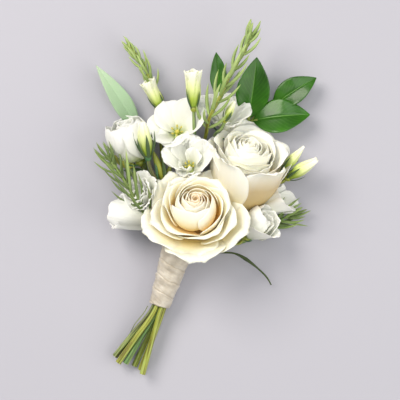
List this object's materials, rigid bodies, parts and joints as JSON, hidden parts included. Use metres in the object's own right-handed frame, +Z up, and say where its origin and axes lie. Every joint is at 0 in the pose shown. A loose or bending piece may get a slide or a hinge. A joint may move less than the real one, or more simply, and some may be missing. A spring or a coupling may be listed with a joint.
{
  "type": "boutonniere",
  "caption": "Boutonniere of ivory roses, white lisianthus and buds with glossy leaves and rosemary, bound into one handle by a cream satin ribbon.",
  "frame": {"origin": "middle of the bounding box, on the table that the boutonniere lies on", "axes": "+Y along the handle from the cut stems towards the flowers, +Z up off the table out of the flowers' faces, +X to the right seen from above"},
  "size_m": [0.11, 0.1638, 0.0386],
  "materials": {
    "ribbonCream": "satin ribbon",
    "tapeGreen": "crepe floral tape",
    "ivory": "fresh rose petal, matt",
    "white": "fresh lisianthus petal, matt",
    "budWhite": "closed lisianthus petals",
    "stemGreen": "fresh green stem",
    "rosemaryGreen": "rosemary needles",
    "glossyGreen": "waxy leaf, glossy",
    "paleGreen": "soft long leaf, satin",
    "grassGreen": "dry grass blade",
    "pistilGreen": "pistil with stamens"
  },
  "bodies": {
    "root": {"ribbonWrap": "ribbonCream", "floralTape": "tapeGreen", "frontRosePetals": "ivory", "backRosePetals": "ivory", "frontRoseStem": "stemGreen", "backRoseStem": "stemGreen", "leftTopBud": "budWhite", "tallBud": "budWhite", "middleLeftBud": "budWhite", "tuckedBud": "budWhite", "rightUpperBud": "budWhite", "rightLowerBud": "budWhite", "tallRosemary": "rosemaryGreen", "leftRosemary": "rosemaryGreen", "leftBloom": "white", "topBloom": "white", "middleBloom": "white", "upperRightBloom": "white", "smallLeftBloom": "white", "lowerLeftBloom": "white", "rightBloom": "white", "rearRightBloom": "white", "topPistil": "pistilGreen", "middlePistil": "pistilGreen", "leafBranch": "glossyGreen", "leftSpray": "stemGreen", "topSpray": "stemGreen", "rightSpray": "stemGreen", "topLeftRosemary": "rosemaryGreen", "rightRosemary": "rosemaryGreen", "paleLeaf": "paleGreen", "grassBlade": "grassGreen"}
  },
  "joints": []
}
